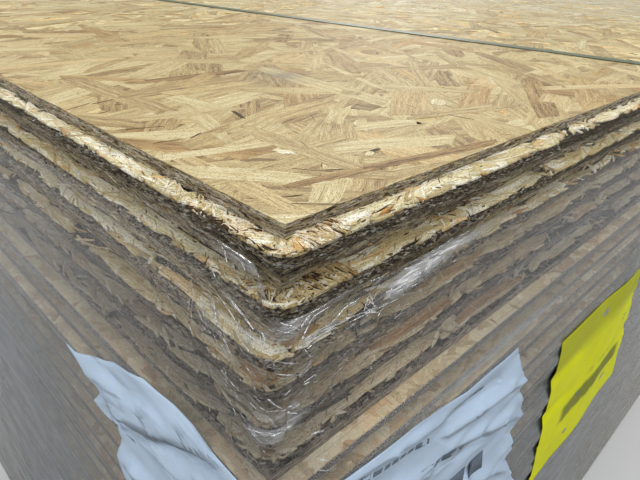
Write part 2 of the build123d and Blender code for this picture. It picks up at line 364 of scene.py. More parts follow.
def stretchedFilm():
    # Polyethylene stretch film in several layers, pulled tight by machine: milky in bulk, clear where it is one layer,
    # with long bright tension lines and glossy bends; a point attribute holds how milky it is, red, how strong its
    # tension lines are, green, how white folds are painted as glints and patches as glare, blue, and how pale many
    # layers are, alpha
    m, add, shader = newMaterial("stretched polyethylene film")
    haze = add("Attribute", {"attribute_name": "haze"})
    milkiness, tension, glintWhiteness = add("SeparateColor", None, haze).outputs
    uv = add("UVMap", {"uv_map": "wrap"})  # mm round the pack and down
    pulls = sizedNoise(add, uv, (55, 3.5), Detail=3.0, Roughness=0.6, Distortion=0.4)  # tension lines 3.5 mm apart
    fine = sizedNoise(add, uv, (9, 1.2), Detail=2.0)
    patches = sizedNoise(add, uv, (60, 22), Detail=2.0)
    milk = add("Math", "MULTIPLY", milkiness, add("MapRange", None, patches, 0.3, 0.7, 0.75, 1.2))
    pulled = add("Math", "MULTIPLY", tension, add("MapRange", None, pulls, 0.58, 0.72))
    # folds painted white: painted glints
    folds = add("Math", "MULTIPLY", glintWhiteness, add("MapRange", None, fine, 0.4, 0.62, 0.4, 1.4))
    summed = {"operation": "ADD", "use_clamp": True}
    alpha = add("Math", summed, add("Math", summed, milk, pulled), folds)
    milky = add("Mix", blending, haze.outputs["Alpha"], linear(filmColours["clear"]), linear(filmColours["pale"]))
    colour = add("Mix", blending, add("Math", summed, pulled, folds), milky, linear(filmColours["fold"]))
    bump = add("Bump", Strength=0.5, Distance=0.0008, Height=add("Math", "MULTIPLY_ADD", fine, 0.4, pulls))
    connect(shader, Base_Color=colour, Alpha=alpha, Normal=bump, Roughness=0.3)
    facing = add("LayerWeight", Blend=0.5, Normal=bump).outputs["Facing"]
    gloss = add("Math", "MULTIPLY_ADD", add("Math", "POWER", facing, 5.0), 0.22, 0.012)  # mirrors most where grazed
    gloss = add("Math", {"operation": "MULTIPLY_ADD", "use_clamp": True}, folds, 0.6, gloss)  # folds mirror more
    mirror = add("BsdfAnisotropic", Color=(1, 1, 1, 1), Roughness=0.14, Normal=bump)
    connect(m.node_tree.nodes["Material Output"], Surface=add("MixShader", None, gloss, shader, mirror))
    return m


def labelPaper(name, base, printed, crumple):
    # Coated label paper under film, printed and then crumpled by hand: matt with fine fibres, a soft sheen on its
    # folds; the attribute ink is how much print covers it, the attribute fold how far it stands off the film in mm
    m, add, shader = newMaterial(name)
    place = add("TexCoord").outputs["Object"]
    fibre = add("TexNoise", Vector=place, Scale=1400.0, Detail=2.0)  # paper fibres about 0.7 mm
    cloud = add("TexNoise", Vector=place, Scale=28.0, Detail=2.0)
    paper = add("Mix", tinting, 1.0, linear(base), add("MapRange", None, cloud, 0.3, 0.7, 0.93, 1.0))
    ink, fold = (add("Attribute", {"attribute_name": layer}).outputs["Fac"] for layer in ("ink", "fold"))
    ink = add("Math", "MULTIPLY", ink, add("MapRange", None, fibre, 0.35, 0.55, 0.75, 1.0))  # worn between fibres
    colour = add("Mix", blending, ink, paper, linear(printed))
    facets = add("TexVoronoi", Vector=place, Scale=24.0, Detail=1.0, Roughness=0.5)  # 40 mm across between creases
    folded = add("Math", "MULTIPLY_ADD", facets, crumple, fold)
    crumpled = add("Bump", Strength=1.0, Distance=0.0022, Height=folded)
    bump = add("Bump", Strength=0.25, Distance=0.0002, Height=fibre, Normal=crumpled)
    connect(shader, Base_Color=colour, Normal=bump, Roughness=0.55, Specular_IOR_Level=0.1)
    return m


def embossedStrap():
    # Polyester strapping, extruded and embossed with a diamond pattern 2 mm apart: dark green, half gloss
    m, add, shader = newMaterial("embossed polyester strap")
    place = add("TexCoord").outputs["Object"]
    diamonds = add("VectorRotate", {"rotation_type": "Z_AXIS"}, Vector=place, Angle=math.pi / 4)
    grid = add("TexChecker", Vector=diamonds, Scale=700.0)
    soft = add("TexNoise", Vector=place, Scale=60.0, Detail=3.0)
    colour = add("Mix", blending, soft, *(linear(c) for c in strapColours))
    bump = add("Bump", Strength=0.4, Distance=0.0002, Height=grid.outputs[1])
    connect(shader, Base_Color=colour, Normal=bump, Roughness=0.5)
    return m


strandWood = looseStrand()
boardWood = pressedBoard()
wrapFilm = stretchedFilm()
whitePaper = labelPaper("crumpled coated paper", *paperColours["white"], 1.2)
yellowPaper = labelPaper("yellow coated paper", *paperColours["yellow"], 0.3)
greenStrap = embossedStrap()
print("materials made")


# Slivers: flat closed pieces of wood, each a row of four-point rings (two top points, two bottom points)

def sliverShapes(rng, length, width, thick, rows, ragged, bend):
    # n x rows x 4 points (along, across, up): the width narrows at the ends and is ragged, and the middle bows
    # sideways with the square of the place along it
    n = len(length)
    u = np.linspace(-0.5, 0.5, rows)[None, :]
    ends = 1 - rng.uniform(0.1, 0.75, (n, 1)) * np.abs(2 * u) ** 4
    half = width[:, None] / 2 * ends
    leftHalf, rightHalf = (half * (1 + ragged * rng.uniform(-1, 1, (n, rows))) for _ in range(2))
    bow = (bend[:, None] * (u ** 2 - 0.08)) * length[:, None]
    slant = rng.uniform(-0.9, 0.9, (n, 1, 1))
    rimWidth = np.minimum(0.5, width[:, None] * 0.2)
    across = np.stack([bow - leftHalf, bow - leftHalf + rimWidth, bow + rightHalf - rimWidth, bow + rightHalf], -1)
    along = (u * length[:, None])[:, :, None] + slant * (across - bow[:, :, None]) * np.abs(2 * u)[:, :, None]
    up = np.stack([-thick, 0 * thick, 0 * thick, -thick], -1)[:, None, :] * np.ones((n, rows, 4))
    return along, across, up


def sliverQuads(n, rows):
    # rings joined along each sliver, and one quad closing each end
    at = np.arange(n * rows * 4).reshape(n, rows, 4)
    ring = np.roll(at, -1, axis=2)
    sides = np.stack([at[:, :-1], at[:, 1:], ring[:, 1:], ring[:, :-1]], -1).reshape(-1, 4)
    return np.concatenate([sides, at[:, 0, :], at[:, -1, ::-1]])


def sliverLayers(rng, shape, along, across, tone, grey, warm):
    # the grain UV map in mm, each sliver on its own patch of grain, and the chip colour attribute
    n, rows, _ = shape
    grain = np.stack([along + rng.uniform(0, 9000, (n, 1, 1)), across + rng.uniform(0, 900, (n, 1, 1))], -1)
    chip = np.zeros((n, rows, 4, 4))
    for i, values in enumerate((tone, grey, warm)):
        chip[..., i] = values[:, None, None]
    # alpha 0 at the long edges and 0.35 at the ends marks the rim that the material darkens with painted shade
    chip[..., 3] = np.array([0, 1, 1, 0])
    chip[:, 0, :, 3] = chip[:, -1, :, 3] = 0.35
    return grain.reshape(-1, 2), chip.reshape(-1, 4)


def turnInPlane(along, across, angle):
    # each sliver turned by its own angle in radians
    a, b = np.cos(angle)[:, None, None], np.sin(angle)[:, None, None]
    return along * a - across * b, along * b + across * a


def joined(groups):
    # groups of points, quads, grain and chip put together as one mesh, with the quads' point numbers moved on
    starts = np.cumsum([0] + [len(g[0]) for g in groups])
    quads = np.concatenate([g[1] + start for g, start in zip(groups, starts)])
    points, grain, chip = (np.concatenate([g[i] for g in groups]) for i in (0, 2, 3))
    return points, quads, grain, chip


# Top face: strands laid over each other

strandSettings = {
    "length": (70, 130),  # mm, as flaked for OSB
    "width": (7, 26),
    "thick": 0.5,
    "deep": 0.55,  # the bed lies this far under the top face
    # how many are strewn, rows of points in each, and how far along and across the pack they lie in mm
    "far": (4000, 3, panelSizes["length"], panelSizes["width"]),
    "near": (520, 9, 420, 420),
    # thin dark slivers that paint the shade in cracks between strands
    "crack": (260, 3, 900, 700),
}
# strands that the photograph shows near the corner: from x, y to x, y in mm, width, tone, orange, level; the narrowest
# dark ones paint the shade in cracks
shownStrands = [
    (-8, 92, 62, 138, 22, 0.42, 0.55, 0.3), (-6, 84, 47, 77, 13, 0.6, 0.1, 0.34),
    (-6, 75, 50, 62, 8, 0.8, 0, 0.44), (-8, 68, 49, 57, 13, 0.42, 0.3, 0.36),
    (-9, 66, 36, 18, 13, 0.82, 0, 0.5), (28, 24, 72, -6, 12, 0.8, 0, 0.3),
    (-8, 40, 40, -8, 15, 0.52, 0, 0.38), (-8, 22, 24, -8, 14, 0.64, 0, 0.42), (-4, 8, 14, -6, 8, 0.86, 0.1, 0.48),
    (54, 12, 52, 90, 13, 0.58, 0, 0.46), (66, 28, 76, 84, 12, 0.56, 0.1, 0.4),
    (20, 22, 62, 15, 6, 0.44, 0.5, 0.51), (56, 17, 134, 3, 7, 0.44, 0.6, 0.53), (62, 8, 118, 0, 12, 0.62, 0, 0.42),
    (64, 42, 120, 18, 15, 0.8, 0, 0.44), (108, 4, 132, 40, 16, 0.5, 0, 0.4),
    (128, 2, 160, 34, 18, 0.66, 0.1, 0.36), (150, 12, 214, 4, 18, 0.84, 0, 0.38),
    (90, 60, 130, 46, 11, 0.78, 0, 0.4), (96, 74, 124, 60, 12, 0.5, 0, 0.38),
    (70, 84, 168, 112, 26, 0.5, 0.1, 0.42), (64, 100, 90, 134, 15, 0.5, 0.1, 0.36),
    (-6, 150, 18, 116, 14, 0.54, 0, 0.44), (14, 100, 58, 150, 16, 0.52, 0.2, 0.36),
    (120, 70, 200, 96, 20, 0.76, 0.1, 0.34), (170, 40, 240, 74, 18, 0.62, 0.6, 0.4),
    (100, 150, 150, 112, 17, 0.68, 0, 0.44), (30, 160, 92, 196, 18, 0.58, 0.1, 0.4),
    (88, 36, 96, 74, 9, 0.54, 0.3, 0.36), (176, 2, 260, 30, 20, 0.72, 0.2, 0.46),
    (24, 53, 36, 45, 4, 0.36, 0, 0.53), (42, 53, 47, 48, 6, 1, 0, 0.545),
    (74, 29, 80, 29.5, 3, 0.05, 0, 0.55), (69, 26, 74, 29, 4, 0.9, 0, 0.552),
    (62, 100, 66, 114, 3, 0.12, 0, 0.54), (168, 60, 182, 68, 9, 0.95, 0, 0.53),
    (13, 16, 20, 13, 0.9, 0.2, 0, 0.55), (43, 25, 50, 21, 1, 0.2, 0, 0.55),
    (8, 91, 20, 89, 1, 0.2, 0, 0.55), (24, 88, 32, 92, 1.1, 0.2, 0, 0.55),
    (34, 34, 44, 22, 0.8, 0.2, 0, 0.55), (12, 10, 24, 0, 0.7, 0.25, 0, 0.55),
]


def edgeTorn(s):
    # how far in mm the top face's edge broke away at s: small notches everywhere, wider ones here and there
    wide = np.clip(waves(s / 6, 0 * s + 3, 62) - 0.6, 0, 1)
    notches = 0.3 * waves(s / 1.4, 0 * s, 61) + 2.2 * wide * waves(s / 1.9, 0 * s, 63)
    return notches * np.clip(1.3 - np.abs(s) / 600, 0.2, 1)


def layStrands(s):
    # strands strewn over the whole face, finer ones near the corner, cracks, and the shown ones on top
    rng = np.random.default_rng(11)
    groups = []
    shown = np.array(shownStrands)
    inside = 0.05  # mm that they stay within the panel's edges
    farX, farY = panelSizes["length"] - inside, panelSizes["width"] - inside
    for kind in ("far", "near", "crack", "shown"):
        if kind == "shown":
            n, rows = len(shown), 15
            x, y, length, angle = middleAndTurn(*shown[:, :4].T)
            width, tone, warm = shown[:, 4:7].T
            level = shown[:, 7] - s["deep"]
        else:
            n, rows, *reach = s[kind]
            x, y = rng.uniform(0, reach[0], n), rng.uniform(0, reach[1], n)
            narrow, wide = s["width"]
            length, width = rng.uniform(*s["length"], n), narrow + (wide - narrow) * rng.beta(1.6, 1.6, n)
            angle = rng.normal(0.35, 0.75, n)
            tone = 0.38 + 0.46 * rng.beta(2.4, 2.0, n)
            warm = np.clip(rng.normal(-0.1, 0.4, n), 0, 0.8)
            level = rng.uniform(-0.45, -0.12, n)
            if kind == "near":
                level = rng.uniform(-0.4, -0.1, n)
            if kind == "crack":
                # dark slivers: painted shade in cracks
                length, width, tone = rng.uniform(4, 18, n), rng.uniform(0.3, 0.9, n), rng.uniform(0.15, 0.4, n)
                level = rng.uniform(-0.12, 0.0, n)
        bend, ragged = rng.normal(0, 0.05, n), 0.0 if kind == "far" else 0.07
        along, across, up = sliverShapes(rng, length, width, np.full(n, s["thick"]), rows, ragged, bend)
        ax, ay = turnInPlane(along, across, angle)
        tilt = rng.uniform(-0.12, 0.12, n) if kind in ("far", "near") else np.zeros(n)
        z = level[:, None, None] + up + tilt[:, None, None] * along / length[:, None, None]
        px, py = x[:, None, None] + ax, y[:, None, None] + ay
        px, py = (np.clip(px, edgeTorn(-py - turnHalf) + inside, farX),
                  np.clip(py, edgeTorn(px + turnHalf) + inside, farY))
        points = rowsOf(px, py, np.minimum(z, -0.004))
        farSheen = np.clip((np.hypot(x, y) - 420) / 1000, 0, 1)  # the far part is painted lighter and greyer: a painted sheen of light grazing the face
        tone, grey = tone - 0.165 + 0.36 * farSheen, 0.06 + 0.4 * farSheen
        grain, chip = sliverLayers(rng, along.shape, along, across, tone, grey, warm * 0.6)
        cutOff = ((px <= 1.2) | (py <= 1.2) | (px >= farX) | (py >= farY)).ravel()
        chip[cutOff, 3] = 1  # a sawn end has no rim darkened with painted shade
        stained = np.exp(-((points[:, 0] - 143) / 20) ** 2 - ((points[:, 1] - 170) / 15) ** 2)  # a blue-grey stain
        chip[:, 1] = np.maximum(chip[:, 1], 0.9 * stained)
        chip[:, 0] -= 0.16 * stained
        groups.append((points, sliverQuads(n, rows), grain, chip))
    points, quads, grain, chip = joined(groups)
    makePiece("top_strands", points, quads, [strandWood], grain=grain, chip=chip)


layStrands(strandSettings)


# Upper panels: a tongue profile on the two visible sides and a groove profile on the others, joined row by row
# a profile's stops are out and z in mm from the top face's edge, with equal parts between them as counted

edgeSettings = {
    "panels": 6,
    "finePanels": 2,  # panels with the finest edges
    "fineStep": (0.7, 90),  # mm between columns near the corner, and how far from it
    "step": (1.2, 60),
    "tearDepth": 0.7,  # how deep the cutter tore
    "tearReach": 420,
    "pushed": np.array([-3.9, -3.2, -0.4]),  # how far the third panel's corner moved
    "pushedReach": 80,
}
grooveMark = 9000  # s of the columns on the grooved sides
tongueStops = [
    (-12, 0), (-0.6, 0), (0, -0.35), (0, -5.2), (6.9, -6.4), (7.5, -7.1), (7.5, -10.9), (6.9, -11.6), (0, -12.8),
    (0, -17.65), (-0.35, -18), (-12, -18),
]
grooveStops = [
    (-12, 0), (-0.6, 0), (0, -0.35), (0, -5), (-8.3, -6.27), (-8.5, -6.5), (-8.5, -11.5), (-8.3, -11.73),
    (-0.8, -13), (-0.8, -17.65), (-1.15, -18), (-12, -18),
]
stopCounts = [3, 1, 11, 11, 2, 8, 2, 5, 5, 1, 2]


def profileRows(stops):
    # the stops joined by straight runs, each run cut into its own number of equal parts
    runs = [np.linspace(a, b, count, endpoint=False) for a, b, count in zip(stops[:-1], stops[1:], stopCounts)]
    return np.concatenate(runs + [[stops[-1]]])


def torn(s, r, seed, depth, reach):
    # how far the cutter tore the wood at s along and r down the profile: deep cells, layered lines and fine fuzz,
    # less with distance
    gone, pick = cells(s / 3.1 + 0.6 * waves(s / 5, r / 2, seed), r / 1.0, seed + 1)
    pits = np.where(pick < 0.3, np.clip(1.1 - gone, 0, 1), 0)
    layers = waves(s / 9, r / 0.75, seed + 5) - 0.5
    fuzz = waves(s / 1.1, r / 0.55, seed + 9) - 0.5
    return (-pits * depth + 0.35 * layers + 0.22 * fuzz) * np.clip(1.25 - np.abs(s) / reach, 0.12, 1)


def rootRise(s):
    # how much higher the tongue's top was milled at its root, mm: lower on the end side, higher on the long side
    return -0.5 + 1.3 * np.clip((s + 12) / 24, 0, 1)


def tongueTop(s, out):
    # height of the tongue's top at s and out: straight from the root to the tip
    part = out / panelSizes["tongue"]
    return -panelSizes["lip"] - 1.3 * part + rootRise(s) * np.clip(1 - part, 0, 1)


def standOut(points, number):
    # the third panel's corner was pushed outwards and swelled: points within some 80 mm of it move by up to 4 mm
    if number != 3:
        return points
    near = np.exp(-(points[..., 0] ** 2 + points[..., 1] ** 2) / edgeSettings["pushedReach"] ** 2)
    return points + near[..., None] * edgeSettings["pushed"]


def makePanel(number, s):
    # one panel's points, quads and its two faces as caps
    length, width = panelSizes["length"], panelSizes["width"]
    tongueRows, grooveRows = profileRows(tongueStops), profileRows(grooveStops)
    if number == 1:
        for rows in (tongueRows, grooveRows):
            rows[:4, 1] -= strandSettings["deep"]
            rows[3, 0] = -1.6
            rows[4, 1] = -0.08  # the shoulder's face covers the strands' ends
    step, reach = s["fineStep"] if number <= s["finePanels"] else s["step"]
    right, left = (spacing(side, step, reach, 1.05, 25) for side in (length, width))
    turn = np.linspace(0, 1, 13)[1:-1] * np.pi / 2
    back = np.linspace(0, 1, 20)
    zero, one = np.zeros_like, np.ones_like
    # columns as base x, base y, direction x, direction y, s
    sides = [
        (zero(turn), zero(turn), -np.cos(turn), -np.sin(turn), (turn / (np.pi / 2) * 2 - 1) * turnHalf),
        (right, zero(right), zero(right), -one(right), right + turnHalf),
        (length * one(back), width * back, one(back), zero(back), grooveMark * one(back)),
        (length * (1 - back), width * one(back), zero(back), one(back), grooveMark * one(back)),
        (zero(left), left[::-1], -one(left), zero(left), -left[::-1] - turnHalf),
    ]
    bx, by, dx, dy, at = (np.concatenate([side[i] for side in sides])[:, None] for i in range(5))
    grooved = at == grooveMark
    out, z = (np.where(grooved, grooveRows[:, i], tongueRows[:, i]) for i in (0, 1))
    # the tongue profile's direction, from its neighbours' difference, and the way run along it
    tongueOut, tongueZ = tongueRows.T
    slope = np.gradient(tongueRows, axis=0)
    slope /= np.maximum(np.hypot(slope[:, 0], slope[:, 1]), 1e-6)[:, None]
    run = np.concatenate([[0], np.cumsum(np.hypot(*np.diff(tongueRows, axis=0).T))])
    lift = torn(*np.broadcast_arrays(at, run), 40 * number, s["tearDepth"], s["tearReach"])
    lift = lift * (run > 12.2) * (run < run[-1] - 12.2) * ~grooved
    lift = lift * np.where((tongueOut > 6.7) | (tongueZ < -12.5), 0.5, 1.0)  # tips and faces under the tongue tore less
    out = out - slope[:, 1] * lift
    z = z + slope[:, 0] * lift
    if number == 1:
        out[:, 4:8] -= np.where(grooved, 0, edgeTorn(at)) * np.array([1.0, 0.7, 0.4, 0.15])
    root = np.clip(-tongueZ / panelSizes["lip"], 0, 1) * np.clip(1 - tongueOut / panelSizes["tongue"], 0, 1)
    z = z + np.where(grooved, 0, rootRise(at) * (root * (tongueZ > -6.6)))
    rows = np.arange(len(tongueRows))
    rim = (rows < (8 if number == 1 else 4)) | (rows > len(rows) - 4)
    inset = np.maximum(-np.where(rim, out, 0), 0)
    x = np.maximum(bx + dx * out, inset)
    y = np.maximum(by + dy * out, inset)
    notch = np.where((tongueOut > 0.05) & ~grooved, 8.5, 0)  # the groove runs out through the tongue's end
    pulledIn = np.minimum(np.where(grooved | rim, out, 0), 0)
    x, y = np.minimum(x, length + pulledIn - notch), np.minimum(y, width + pulledIn - notch)
    shiftX, shiftY = shifts[number - 1]
    points = np.stack([x + shiftX, y + shiftY, z - panelSizes["thick"] * (number - 1)], -1)
    at = np.arange(out.size).reshape(out.shape)
    quads = quadsBetween(at, np.roll(at, -1, axis=0))
    return standOut(points, number).reshape(-1, 3), quads, [at[:, 0], at[::-1, -1]]


chipFields = ("reach", "count", "length", "width", "tone", "grey", "orange", "lift")  # grey: mean, orange: share
chipSettings = {
    "patches": (560, 150, (14, 46), (3, 7), (0.55, 1.0), 0.05, 0.12, (0.02, 0.14)),
    "tongueTop": (420, 330, (4, 18), (0.7, 2.6), (0.4, 1.15), 0.1, 0.2, (0.05, 0.35)),
    # dark slivers that paint the shade in cracks
    "cracks": (130, 70, (1.5, 5), (0.3, 0.8), (-0.1, 0.2), 0.0, 0.6, (0.15, 0.4)),
    "tip": (190, 900, (0.6, 2.6), (0.2, 0.5), (-0.2, 1.2), 0.95, 0.05, (0.0, 0.5)),
    "shoulder": (260, 520, (3, 14), (0.3, 0.8), (0.25, 1.0), 0.5, 0.1, (0.0, 0.3)),
    # dark slivers that paint the shade in pits
    "pits": (200, 260, (0.8, 4.5), (0.3, 0.8), (-0.05, 0.25), 0.2, 0.4, (0.1, 0.3)),
}
uprightFaces = {"tip": (-11.3, -6.9, 7.5), "shoulder": (-4.9, -0.9, 0.0), "under": (-17.4, -13.0, 0.0)}  # z, z, out
# clusters of splinters: panel, s, out, half spread along s and across, count, length, width, angle and its spread,
# tone, orange; the dark clusters paint the shadows among the splinters
splinterClusters = [
    (1, 19, 4, 8, 3.2, 36, (4, 9), (0.35, 0.8), 1.15, 0.35, (0.6, 1.1), (0.15, 0.55)),
    (1, 19, 4, 8, 3.2, 14, (3, 7), (0.25, 0.45), 1.15, 0.4, (0, 0.25), (0.3, 0.8)),
    (1, -24, 3.8, 9, 3, 34, (5, 10), (0.4, 1.1), -0.3, 0.7, (0.65, 1.15), (0.1, 0.4)),
    (1, -24, 4.6, 9, 3, 12, (2, 6), (0.3, 0.6), -0.2, 0.8, (-0.2, 0.1), (0.2, 0.6)),
    (1, -52, 3.5, 16, 3, 30, (5, 12), (0.5, 1.4), 0, 0.6, (0.6, 1.15), (0, 0.25)),
    (1, -34, 7, 18, 0.8, 26, (1.5, 5), (0.4, 1), 0, 0.4, (-0.3, 0.05), (0, 0.3)),
    (1, 0, 7.4, 9, 0.7, 22, (2, 5), (0.5, 1.2), 0, 0.5, (0.3, 1), (0, 0.4)),
    (1, 0, 7.2, 9, 0.8, 14, (2, 5), (0.3, 0.7), 0, 0.5, (-0.3, 0.05), (0, 0.3)),
    (2, 24, 4, 10, 3, 34, (3, 7), (0.35, 0.8), 1.35, 0.3, (0.25, 0.8), (0.1, 0.5)),
    (2, 24, 4, 10, 3, 14, (3, 6), (0.25, 0.5), 1.35, 0.4, (-0.3, 0), (0.2, 0.6)),
    (2, -2, 4.5, 15, 3.2, 60, (3, 9), (0.5, 1.3), 0.3, 1.2, (0.35, 1), (0, 0.4)),
    (2, -2, 4.5, 15, 3.2, 24, (2, 6), (0.3, 0.7), 0.3, 1.2, (-0.3, 0.05), (0.2, 0.8)),
]
# chips that the photograph shows on each panel's tongue: s, out to s, out, width, tone, orange, lift; the thin dark
# ones paint the shade in cracks
shownChips = {
    1: [(26, 2.4, 42, 3.6, 3.4, 1.12, 0, 0.3), (33, 1.8, 66, 2.6, 3.6, 0.88, 0, 0.2),
        (50, 4.6, 78, 5, 3.6, 0.8, 0, 0.16), (72, 2, 112, 3.4, 4.6, 0.84, 0, 0.16),
        (44, 6, 53, 5, 1.8, 0.45, 1, 0.42), (43.5, 4.8, 52, 4, 0.6, -0.2, 0, 0.44),
        (5.2, 7.4, 9.5, 2, 3.6, 0.78, 0.9, 0.5), (9.6, 7.2, 7.2, 2.4, 2.6, 0.92, 0.6, 0.55),
        (7.6, 7.6, 8.1, 2.6, 0.45, -0.2, 0, 0.6), (9, 0.8, 15, 1.2, 2.4, 0.95, 0, 0.35),
        (-9, 1.5, -18, 5.5, 3.6, 0.98, 0.1, 0.42), (-7, 3.5, -14, 7.4, 3, 1, 0, 0.48),
        (-5, 1.5, 2, 3, 3, 0.92, 0.15, 0.42), (-8, 7.4, 1, 7.3, 2.2, 0.78, 0, 0.4),
        (-1, 5.8, 5, 6.6, 2.4, 0.72, 0, 0.35), (-9, 6.2, -2, 5.9, 0.6, -0.2, 0, 0.55),
        (-2, 6.9, 4, 7.5, 0.55, -0.2, 0, 0.5), (-16, 6.8, -10, 7.2, 0.8, -0.2, 0, 0.5),
        (-80, 2.2, -112, 3.4, 4.4, 0.95, 0, 0.2), (-112, 4.5, -150, 3, 5, 0.9, 0, 0.2)],
    2: [(-15.4, 6.5, -10.5, 1.5, 1.4, 1, 0, 0.7), (-2.8, 6.3, -6.8, 1.2, 0.9, 1.15, 0, 0.95),
        (2.7, 4.8, 8.8, 2.6, 1.2, 1.15, 0, 0.95), (-5.8, 7.6, 6.4, 7, 1.2, 0.95, 0, 0.8),
        (-95, 3.5, -150, 4, 5.5, 0.9, 0.1, 0.2), (7.6, 5.3, 13, 6.2, 2.4, 0, 1, 0.3),
        (40, 3, 90, 4, 5.5, 0.6, 0, 0.2), (-45, 3.5, -90, 4.5, 5, 0.85, 0, 0.2)],
    3: [(-17, 4, 7, 4.6, 4.6, 1.02, 0, 0.45), (-32, 3, -13, 5, 3.6, 0.95, 0.1, 0.35),
        (6, 3.4, 24, 3, 4.4, 0.5, 0.6, 0.3), (22, 4.4, 50, 4, 4.6, 0.7, 0.2, 0.2),
        (-44, 3.6, -70, 4.4, 4.6, 0.85, 0.5, 0.2), (60, 3.5, 120, 4, 5, 0.9, 0.1, 0.2),
        (-80, 3.5, -150, 4, 5.5, 1, 0, 0.2)],
    4: [(90, 3.5, 150, 4, 6, 0.5, 0.6, 0.2), (-15, 3.6, -2, 3.2, 5, 0.5, 0.9, 0.35),
        (1, 5.2, 14, 4.4, 1.8, 0.45, 0.8, 0.35), (-40, 4, -17, 3.6, 4.2, 0.85, 0.1, 0.3)],
    5: [(60, 3.5, 120, 4, 6, 0.45, 0.8, 0.25), (150, 3.5, 220, 4, 6, 0.6, 0.3, 0.2),
        (-9, 4.2, 3, 5, 3.6, 1, 0.1, 0.45), (4, 4.4, 20, 3.2, 4, 0.5, 0.5, 0.3)],
    6: [(50, 3.5, 110, 4.2, 6, 0.75, 0.1, 0.25), (130, 3.5, 200, 4, 6, 0.45, 0.8, 0.2),
        (-8, 3, 6, 4.2, 4.4, 0.35, 0.4, 0.3), (10, 4, 40, 4, 5, 0.75, 0.2, 0.2)],
}


def panelChips(number, rng):
    # one panel's chips and splinters as groups of points, quads, grain and chip colour
    groups = []

    def lay(zone, s, middle, length, width, angle, tone, grey, warm, lift, ragged=0.15):
        # slivers whose middles are at s and, by zone, at a distance out on the tongue's top or at a height on an
        # upright face
        n = len(s)
        along, across, up = sliverShapes(rng, length, width, np.full(n, 0.7), 4, ragged, rng.normal(0, 0.12, n))
        ds, dp = turnInPlane(along, across, angle)
        ds, dp = s[:, None, None] + ds, middle[:, None, None] + dp
        if zone == "top":
            out = np.clip(dp, 0.0, 8.0)
            z = tongueTop(ds, out) + lift[:, None, None] + up
        else:
            low, high, face = uprightFaces[zone]
            z = np.clip(dp, low - 0.4, high + 0.3)
            out = face + lift[:, None, None] - 0.15 + up
        x, y = aroundCorner(ds, out)
        shiftX, shiftY = shifts[number - 1]
        points = np.stack([x + shiftX, y + shiftY, z - panelSizes["thick"] * (number - 1)], -1)
        grain, chip = sliverLayers(rng, along.shape, along, across, tone, grey, warm)
        groups.append((standOut(points, number).reshape(-1, 3), sliverQuads(n, 4), grain, chip))

    for zone, row in chipSettings.items():
        c = dict(zip(chipFields, row))
        n = c["count"] if number <= 2 else c["count"] // 2
        s = rng.uniform(-1, 1, n)
        s = np.sign(s) * np.abs(s) ** 1.3 * c["reach"]
        length, width = rng.uniform(*c["length"], n), rng.uniform(*c["width"], n)
        tone, lift = rng.uniform(*c["tone"], n), rng.uniform(*c["lift"], n)
        warm = np.where(rng.uniform(0, 1, n) < c["orange"], rng.uniform(0.3, 0.9, n), 0.0)
        grey = np.clip(rng.normal(c["grey"], 0.15, n), 0, 1)
        if number > 3:  # chips of deeper panels are darker, greyer and less orange
            tone, warm, grey = 0.15 + 0.65 * tone, 0.7 * warm, grey + 0.1
        if zone in ("patches", "tongueTop", "cracks"):
            low, high, turn = (2.5, 5.0, 0.1) if zone == "patches" else (0.5, 7.3, 0.5)
            middle = rng.uniform(low, high, n)
            lay("top", s, middle, length, width, rng.normal(0, turn, n), tone, grey, warm, lift)
        elif zone == "tip":
            middle = rng.uniform(*uprightFaces["tip"][:2], n)
            lay("tip", s, middle, length, width, rng.normal(0, 0.25, n), tone, grey, warm, lift)
        else:
            under = rng.uniform(0, 1, n) < 0.3
            for face, pick in (("shoulder", ~under), ("under", under)):
                middle = rng.uniform(*uprightFaces["shoulder"][:2], n) - 12.3 * under
                angle = rng.normal(0, 0.12, n)
                lay(face, *(values[pick] for values in (s, middle, length, width, angle, tone, grey, warm, lift)))
    for panel, s, out, spreadS, spreadOut, n, length, width, angle, spread, tone, warm in splinterClusters:
        if panel == number:
            s, middle = rng.uniform(s - spreadS, s + spreadS, n), rng.uniform(out - spreadOut, out + spreadOut, n)
            length, width, angle = rng.uniform(*length, n), rng.uniform(*width, n), rng.normal(angle, spread, n)
            tone, grey = rng.uniform(*tone, n), 0 * rng.uniform(size=n)
            warm, lift = rng.uniform(*warm, n), rng.uniform(0.3, 0.75, n)
            lay("top", s, middle, length, width, angle, tone, grey, warm, lift, 0.25)
    shown = np.array(shownChips[number])
    s, middle, length, angle = middleAndTurn(*shown[:, :4].T)
    width, tone, warm, lift = shown[:, 4:].T
    lay("top", s, middle, length, width, angle, tone, 0 * tone, warm, lift, 0.12)
    return groups


def makeUpperPanels(s):
    for number in range(1, s["panels"] + 1):
        rng = np.random.default_rng(100 + number)
        points, board, caps = makePanel(number, s)
        blank = np.zeros((len(points), 6))
        points, quads, grain, chip = joined([(points, board, blank[:, :2], blank[:, 2:])] + panelChips(number, rng))
        finish = np.arange(len(quads)) >= len(board)  # the board first, then the chips on it
        piece = makePiece("board_%02d" % number, points, quads, [boardWood, strandWood], finish=finish, caps=caps,
                          grain=grain, chip=chip)
        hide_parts("panel_%02d" % number)


makeUpperPanels(edgeSettings)

for names, material in ((panelNames[edgeSettings["panels"]:], boardWood), (("strap_near", "strap_far"), greenStrap)):
    for name in names:
        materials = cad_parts[name].data.materials
        materials.clear()
        materials.append(material)
print("panels dressed")


# Stretch film: a ring round the stack that lies on the tongues and dips between them

